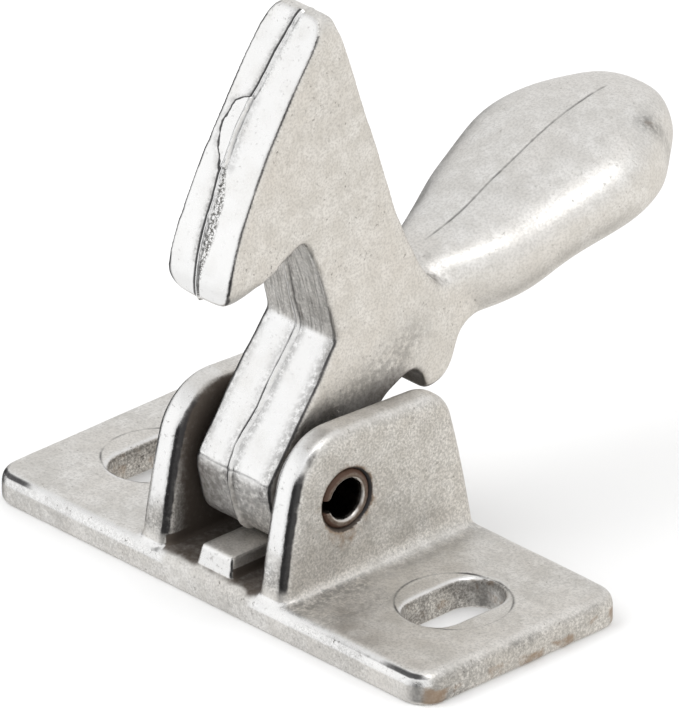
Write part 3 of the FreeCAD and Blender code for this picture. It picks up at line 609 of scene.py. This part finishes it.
    # painted dark reflections along both sides of each ear's front face, the plate's front arris and the lug's edges;
    # painted shade lines at the spot-face rings and the ears' feet
    # near-black ragged edges
    edge = ear * window(np.abs(nx), 0.46, 0.84, 0.10) * step(-ny, 0.2, 0.5)
    edge = edge * (0.75 + 0.35 * noise(co, 0.9, 121))
    right_side = ear * window(nx, 0.35, 0.85, 0.08) * step(-ny, 0.3, 0.5) * (1 - step(z, 14.5, 16.0))
    edge = np.maximum(edge * 0.75, right_side * (0.9 + 0.3 * noise(co, 0.6, 122)))
    arris = (z > 2.2) * window(nz, 0.55, 0.86, 0.06) * step(-ny, 0.3, 0.5) * (y < -11.5) * step(noise(co * [0.35, 1, 1], 1.6, 123), -0.5, 0.4)
    rings = np.exp(-((np.hypot(ax - 20.3, y) - 5.62) / 0.15) ** 2) * (nz > 0.7) * (z > 2.6) * (0.55 + 0.25 * noise(co, 1.6, 124))
    heel = 0.4 * np.exp(-((z - 3.55) / 0.25) ** 2) * (ax < 10.8) * (ax > 5.9) * step(-ny, 0.2, 0.7) * step(noise(co, 0.8, 125), -0.3, 0.3)
    lug_edge = lug * window(nx, 0.3, 0.85, 0.08) * step(-ny, 0.2, 0.5)
    line = edge + 0.75 * arris * step(ax, 6.2, 7.4) + rings + 0.15 * heel + 0.7 * lug_edge
    pitted = 0.60 + 0.25 * fractal(co, 7.0, 126) + 0.35 * wall + 0.35 * foot - 0.3 * front_ear
    pitted = pitted + 0.35 * rough_face * step(fractal(co, 4.0, 127), -0.3, 0.4)
    smooth_top = (nz > 0.8) * (z < 3.6)
    pitted = pitted - 0.18 * smooth_top
    smear = window(x, 9.5, 30, 0.5) * (nz > 0.7) * (z < 4) * step(fractal(co * [1, 0.45, 1], 3.0, 128), 0.0, 0.7)
    dirt = dirt + 0.16 * smear
    gritty = 0.30 * outer + 0.25 * wall + 0.4 * foot + 0.2 * rough_face * step(fractal(co, 4.0, 129), -0.4, 0.4) + 0.45 * inner
    shadow = 0.45 * front_ear * (1 - step(z, 6.0, 9.5)) + 0.22 * wall + 0.3 * rough_face * step(fractal(co, 5.0, 130), -0.2, 0.6) + 0.28 * outer * step(fractal(co, 3.0, 131), -0.2, 0.6)
    end_face = step(x, 29.2, 29.8) * (z < 3.0)
    shadow = shadow + 0.6 * end_face * step(fractal(co, 3.0, 132), -0.4, 0.4)
    shadow = shadow + 0.4 * smooth_top * window(y, -12.6, -3.0, 1.0) * window(x, 9.5, 16.5, 1.2) + 0.35 * smooth_top * window(x, 9.0, 12.6, 0.6)
    return finish_piece(me, "base_casting", "base", "base_bracket", cast_metal("base_aluminium", (0.88, 0.865, 0.84), (0.72, 0.70, 0.665)),
                        {"wear": (dirt, polish, line), "tone": (stain, pitted, np.zeros(len(co))), "grit": (gritty, shadow, np.zeros(len(co)))})


# --------------------------------------------------------------- hinge pin
def make_pin():
    me = castable("hinge_pin", 0.11)
    co = get(me)
    r = np.hypot(co[:, 1] - PIVOT_Y, co[:, 2] - PIVOT_Z)
    ends = step(np.abs(co[:, 0]), 8.4, 9.4)
    co = smooth(co, edge_list(me), 0.25 * ends + 0.05, 14)
    put(me, co)
    co, no = get(me), get(me, "no")
    ax = np.abs(co[:, 0])
    ends = step(ax, 8.9, 9.6)
    h = ends * (0.03 * fractal(co, 0.9, 131) + 0.015 * noise(co, 0.3, 132))
    co = co + no * h[:, None]
    co[:, 0] = np.clip(co[:, 0], -9.95, 9.95)
    put(me, co)
    r = np.hypot(co[:, 1] - PIVOT_Y, co[:, 2] - PIVOT_Z)
    rust = np.clip(0.25 + 0.75 * step(r, 2.45, 2.85) + 0.2 * noise(co, 0.7, 133), 0, 1) * ends
    bright = 0.85 * window(r + 0.05 * noise(co, 0.6, 134), 2.02, 2.26, 0.07) * ends * (ax > 9.4) * step(noise(co, 1.1, 135), -0.7, -0.1)
    # the bore's inside is painted near-black: painted shade in the hole
    bore = (r < 2.25) * (1 - step(ax, 8.9, 9.7))
    return finish_piece(me, "spring_pin", "base", "hinge_pin", rolled_steel("pin_rolled_steel"),
                        {"wear": (rust * (1 - bright), bright, bore * 0.97)})


lever = make_lever()
base = make_base()
pin = make_pin()

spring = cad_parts["return_spring"]
wire = wire_steel("wire_steel")
if spring.data.materials:
    for s in spring.material_slots:
        s.link = "OBJECT"
        s.material = wire
else:
    spring.data.materials.append(wire)


# ---------------------------------------------------------- floor and light
bm = bmesh.new()
for a, b in ((-3, -3), (3, -3), (3, 3), (-3, 3)):
    bm.verts.new((a, b, -0.00002))
bm.faces.new(bm.verts)
floor_mesh = bpy.data.meshes.new("floor")
bm.to_mesh(floor_mesh)
bm.free()
floor = bpy.data.objects.new("floor", floor_mesh)
scene.collection.objects.link(floor)
g = Graph("pale_floor")
tone = g.noise(0.35, 2.0, 0.5)
g.put(g.bsdf.inputs["Base Color"], g.mix(g.span(tone, 0.3, 0.7), (0.90, 0.90, 0.90), (0.92, 0.92, 0.92)))
g.bsdf.inputs["Roughness"].default_value = 0.9
g.bsdf.inputs["Specular IOR Level"].default_value = 0.0
floor_mesh.materials.append(g.mat)
floor.visible_glossy = False


def softbox(name, place, target, width, height, power, colour=(1, 1, 1)):
    data = bpy.data.lights.new(name, "AREA")
    data.shape = "RECTANGLE"
    data.size, data.size_y = width, height
    data.energy = power
    data.color = colour
    ob = bpy.data.objects.new(name, data)
    scene.collection.objects.link(ob)
    ob.location = place
    ob.rotation_euler = (Vector(target) - Vector(place)).to_track_quat("-Z", "Y").to_euler()
    ob.visible_camera = False
    ob.visible_glossy = False
    return ob


softbox("key_softbox", (-0.35, -0.45, 0.75), (0, 0, 0.02), 0.7, 0.7, 3.2)
softbox("fill_softbox", (0.55, 0.35, 0.6), (0, 0, 0.02), 0.6, 0.6, 1.4)


def studio():
    """A white studio with soft cards in it, as the metal sees it. Directions are azimuth (0 = -Y, 90 = +X) and elevation."""
    w = bpy.data.worlds.new("studio")
    scene.world = w
    w.use_nodes = True
    t = w.node_tree
    t.nodes.clear()
    out = t.nodes.new("ShaderNodeOutputWorld")

    def link(a, b):
        t.links.new(a, b)

    def m(op, a, b=None):
        n = t.nodes.new("ShaderNodeMath")
        n.operation = op
        for k, v in enumerate((a, b)):
            if isinstance(v, bpy.types.NodeSocket):
                link(v, n.inputs[k])
            elif v is not None:
                n.inputs[k].default_value = v
        return n.outputs[0]

    coord = t.nodes.new("ShaderNodeTexCoord").outputs["Generated"]

    def dot(az, el):
        a, e = math.radians(az), math.radians(el)
        n = t.nodes.new("ShaderNodeVectorMath")
        n.operation = "DOT_PRODUCT"
        link(coord, n.inputs[0])
        n.inputs[1].default_value = (math.sin(a) * math.cos(e), -math.cos(a) * math.cos(e), math.sin(e))
        return n.outputs["Value"]

    def patch(az, el, inner, outer):
        n = t.nodes.new("ShaderNodeMapRange")
        n.interpolation_type = "SMOOTHSTEP"
        link(dot(az, el), n.inputs["Value"])
        n.inputs["From Min"].default_value = math.cos(math.radians(outer))
        n.inputs["From Max"].default_value = math.cos(math.radians(inner))
        return n.outputs[0]

    level = None
    value = 0.88
    # (azimuth, elevation, full inside, gone outside, level there)
    cards = [
        (-150, 30, 30, 75, 0.85),
        (133, -28, 30, 62, 0.96),
        (60, 20, 25, 60, 0.95),
        (12, -32, 14, 34, 0.10),
        (18, 2, 10, 26, 0.22),
        (-98, -12, 12, 30, 0.08),
        (-43, 22, 20, 33, 1.06),
        (-44, -12, 20, 33, 1.10),
        (-46, -38, 18, 34, 0.98),
        (78, 68, 8, 17, 3.4),
        (-60, 62, 14, 34, 0.82),
        (129, -62, 12, 28, 0.55),
    ]
    for az, el, inner, outer, v in cards:
        p = patch(az, el, inner, outer)
        base_value = level if level is not None else value
        # level = level * (1 - p) + v * p
        keep = m("SUBTRACT", 1.0, p)
        level = m("ADD", m("MULTIPLY", keep, base_value), m("MULTIPLY", p, v))
    warm = t.nodes.new("ShaderNodeMix")
    warm.data_type = "RGBA"
    link(patch(133, -40, 20, 95), warm.inputs["Factor"])
    warm.inputs[6].default_value = (1.0, 1.0, 1.0, 1)
    warm.inputs[7].default_value = (1.0, 0.972, 0.925, 1)
    seen = t.nodes.new("ShaderNodeBackground")
    link(warm.outputs[2], seen.inputs["Color"])
    link(level, seen.inputs["Strength"])
    plain = t.nodes.new("ShaderNodeBackground")
    plain.inputs["Color"].default_value = (1, 1, 1, 1)
    plain.inputs["Strength"].default_value = 0.97
    pick = t.nodes.new("ShaderNodeMixShader")
    path = t.nodes.new("ShaderNodeLightPath")
    link(path.outputs["Is Glossy Ray"], pick.inputs[0])
    link(plain.outputs[0], pick.inputs[1])
    link(seen.outputs[0], pick.inputs[2])
    link(pick.outputs[0], out.inputs[0])


studio()

# ------------------------------------------------------------------- camera
THETA, PHI, ROLL = math.radians(47.116), math.radians(28.03), math.radians(-0.495)
SCALE, U0, V0, K = 10.5904, 306.267, 558.26, 0.00035      # pixels per mm at the origin, its place, 1 / distance in mm
right = Vector((math.cos(THETA), math.sin(THETA), 0))
up = Vector((-math.sin(THETA) * math.sin(PHI), math.cos(THETA) * math.sin(PHI), math.cos(PHI)))
back = Vector((math.sin(THETA) * math.cos(PHI), -math.cos(THETA) * math.cos(PHI), math.sin(PHI)))
# the frame's centre, brought back through the roll
du, dv = 679 / 2 - U0, 708 / 2 - V0
cr, sr = math.cos(ROLL), math.sin(ROLL)
px, py = cr * du + sr * dv, -sr * du + cr * dv
distance = 1 / K
f_px = SCALE / K
camera_data = bpy.data.cameras.new("camera")
camera_data.sensor_width = 36.0
camera_data.sensor_fit = "AUTO"
camera_data.lens = 36.0 * f_px / 708.0
camera_data.clip_start, camera_data.clip_end = 0.1, 12.0
camera = bpy.data.objects.new("camera", camera_data)
scene.collection.objects.link(camera)
eye = back * (distance * 0.001)
# turn the camera so that its centre ray meets the frame's centre
aim = (-back * f_px + right * px - up * py).normalized()
z_axis = -aim
x_axis = right * cr - up * sr * -1.0
x_axis = (x_axis - z_axis * x_axis.dot(z_axis)).normalized()
y_axis = z_axis.cross(x_axis)
camera.matrix_world = Matrix((
    (x_axis.x, y_axis.x, z_axis.x, eye.x),
    (x_axis.y, y_axis.y, z_axis.y, eye.y),
    (x_axis.z, y_axis.z, z_axis.z, eye.z),
    (0, 0, 0, 1),
))
scene.camera = camera
